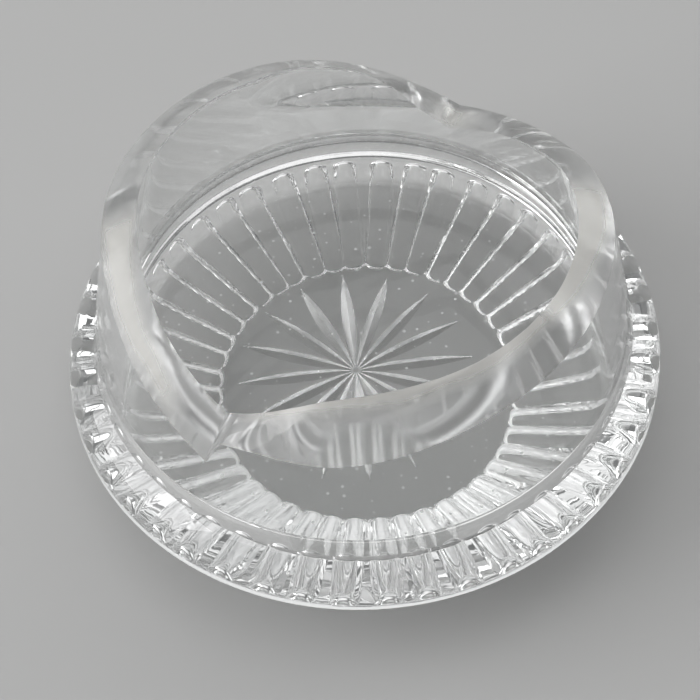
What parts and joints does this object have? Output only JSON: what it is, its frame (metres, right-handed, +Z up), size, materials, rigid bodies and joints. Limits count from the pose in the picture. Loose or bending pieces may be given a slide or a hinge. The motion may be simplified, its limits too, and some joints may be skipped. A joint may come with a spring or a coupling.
{
  "type": "salt shaker body",
  "caption": "Broken-off lower body of a clear cut-glass salt shaker: round fluted foot with a star-cut base and a plain tapered wall ending in a heart-shaped broken edge.",
  "frame": {"origin": "on the table under the middle of the foot's flat base", "axes": "+Z up along the foot's axis, -Y towards the viewer of the picture, +X to the viewer's right"},
  "size_m": [0.05, 0.05, 0.0271],
  "materials": {
    "clear_glass": "polished clear soda-lime glass, fine scratches and dust inside"
  },
  "bodies": {
    "root": {"fluted_foot": "clear_glass", "tapered_wall": "clear_glass"}
  },
  "joints": []
}
